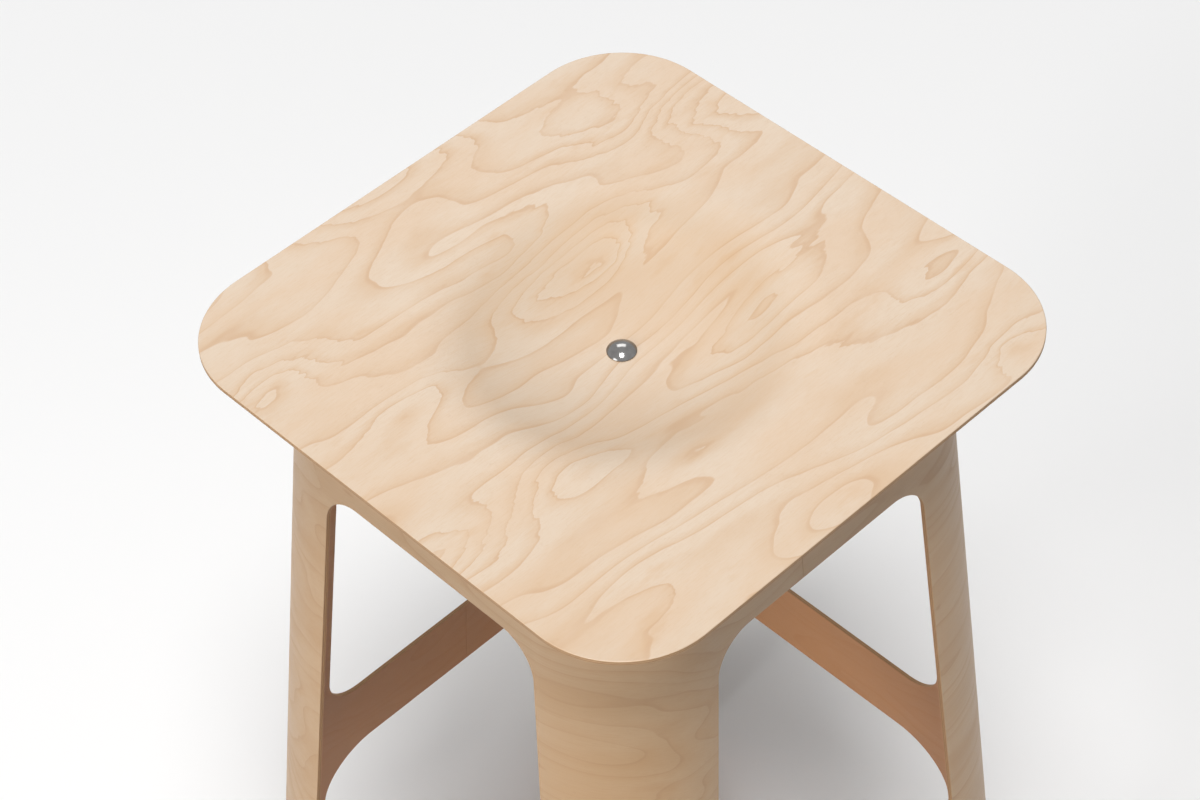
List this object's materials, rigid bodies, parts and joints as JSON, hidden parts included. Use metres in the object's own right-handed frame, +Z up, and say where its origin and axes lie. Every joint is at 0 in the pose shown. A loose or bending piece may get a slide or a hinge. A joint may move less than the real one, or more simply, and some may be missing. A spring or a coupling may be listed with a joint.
{
  "type": "stacking stool",
  "caption": "Tall stool of thin moulded birch plywood: square seat with a round dish and a centre bolt on a splayed shell base with rounded legs, windows and stretchers.",
  "frame": {"origin": "on the floor, under the middle of the seat", "axes": "+Z up; the sides of the seat lie along X and Y, -Y is the front side of the front moulding and the two seams are on the +X and -X sides"},
  "size_m": [0.3874, 0.3874, 0.65],
  "materials": {
    "seat_veneer": "rotary-cut birch veneer, matt lacquer",
    "base_veneer": "rotary-cut birch veneer, matt lacquer, sanded ply edges",
    "brace_plywood": "birch plywood, sawn edges",
    "solid_birch": "planed birch",
    "bolt_steel": "polished steel",
    "zinc_steel": "zinc plated",
    "glide_nylon": "natural nylon"
  },
  "bodies": {
    "root": {"seat_panel": "seat_veneer", "base_front_half": "base_veneer", "base_rear_half": "base_veneer", "cross_brace_upper": "brace_plywood", "cross_brace_lower": "brace_plywood", "corner_block_rear_right": "solid_birch", "corner_block_rear_left": "solid_birch", "corner_block_front_left": "solid_birch", "corner_block_front_right": "solid_birch", "rail_splice_right": "brace_plywood", "rail_splice_left": "brace_plywood", "seat_bolt": "bolt_steel", "bolt_washer": "zinc_steel", "bolt_nut": "zinc_steel", "foot_glide_rear_right": "glide_nylon", "foot_glide_rear_left": "glide_nylon", "foot_glide_front_left": "glide_nylon", "foot_glide_front_right": "glide_nylon"}
  },
  "joints": []
}
